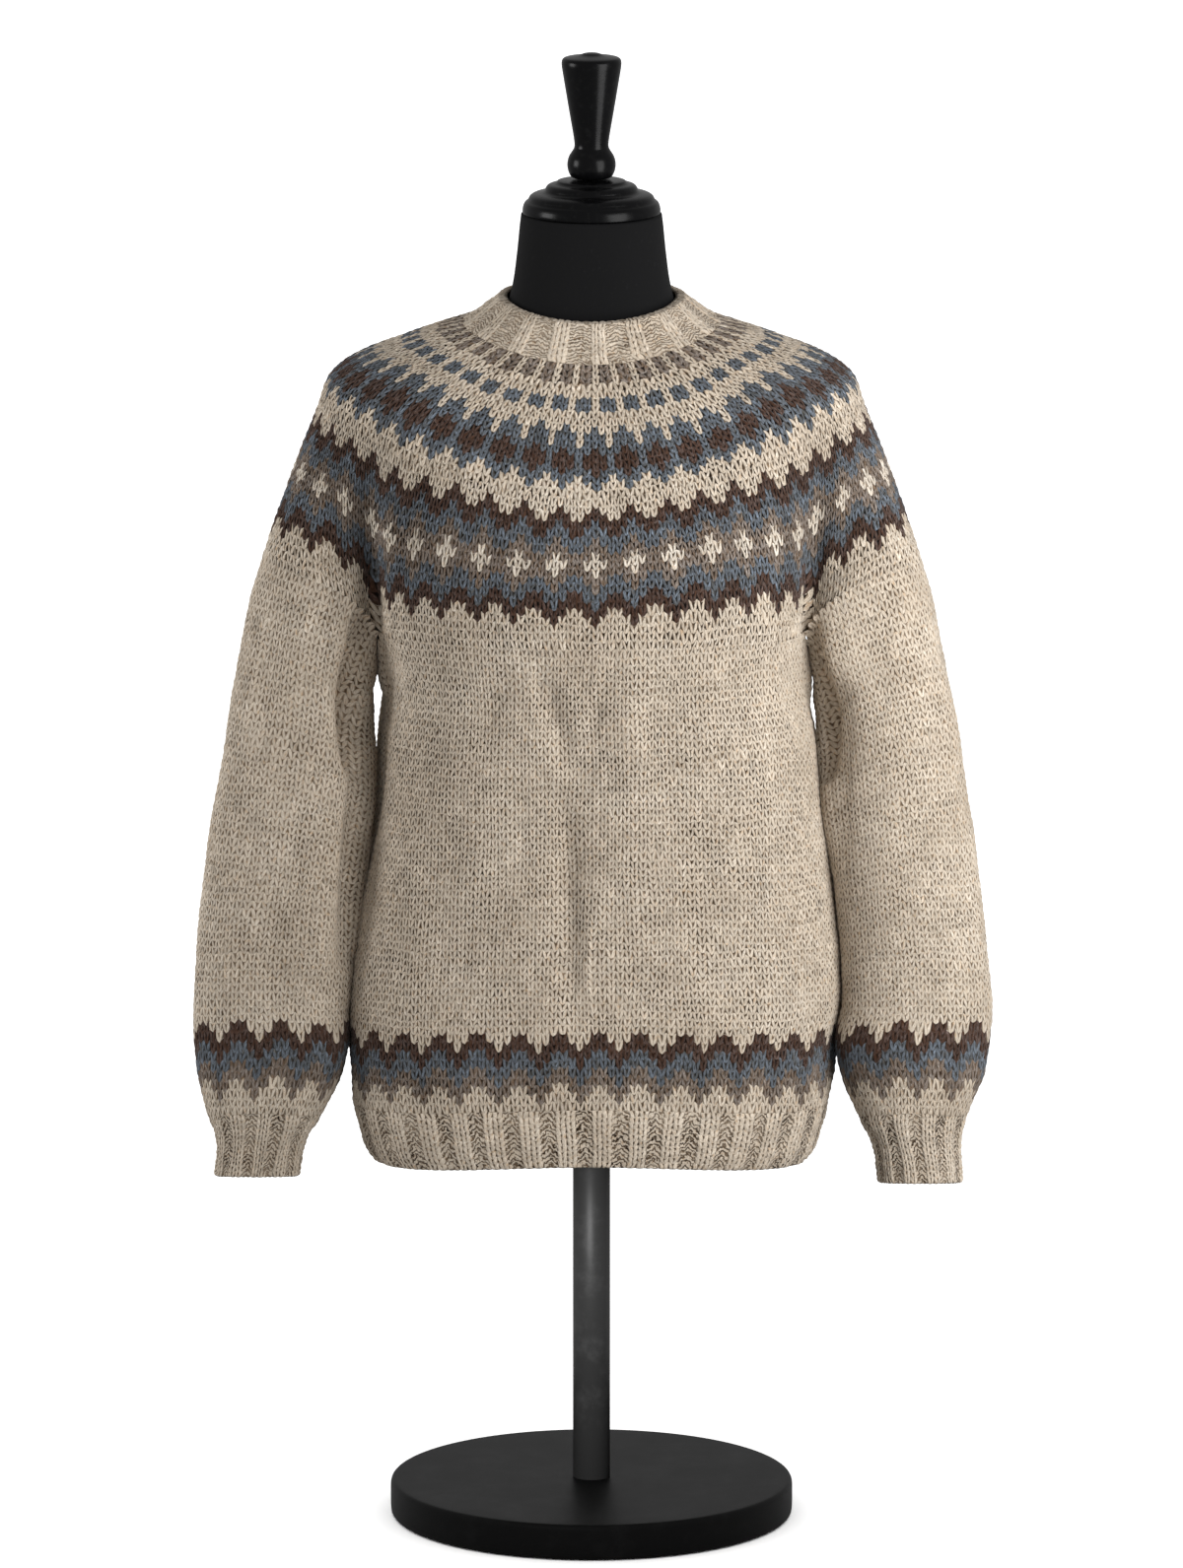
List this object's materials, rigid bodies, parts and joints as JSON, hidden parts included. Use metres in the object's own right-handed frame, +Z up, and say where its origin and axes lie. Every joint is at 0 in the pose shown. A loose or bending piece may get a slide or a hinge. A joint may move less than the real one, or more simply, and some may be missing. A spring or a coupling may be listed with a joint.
{
  "type": "nordic yoke sweater on a dress form",
  "caption": "Hand-knitted wool pullover with a patterned round yoke and bands, shown on a black limbless dress form with a turned cap and a pole on a round base.",
  "frame": {"origin": "centre of the round base's flat underside", "axes": "+Z up along the pole; the sweater's front faces -Y; +X towards the wearer's left sleeve"},
  "size_m": [0.6468, 0.3292, 1.2075],
  "materials": {
    "oatmeal_wool": "thick knitted wool, matt, a little hairy",
    "patterned_wool": "knitted wool in oatmeal, brown, slate blue, taupe and off-white",
    "black_jersey": "tight black jersey cover",
    "black_wood": "turned wood, black satin paint",
    "black_metal": "black satin powder coat"
  },
  "bodies": {
    "root": {"neckband": "oatmeal_wool", "yoke": "patterned_wool", "body": "oatmeal_wool", "hem_rib": "oatmeal_wool", "sleeve_left": "oatmeal_wool", "sleeve_right": "oatmeal_wool", "cuff_left": "oatmeal_wool", "cuff_right": "oatmeal_wool", "form_torso": "black_jersey", "neck_cap": "black_wood", "finial": "black_wood", "pole": "black_metal", "base": "black_metal"}
  },
  "joints": []
}
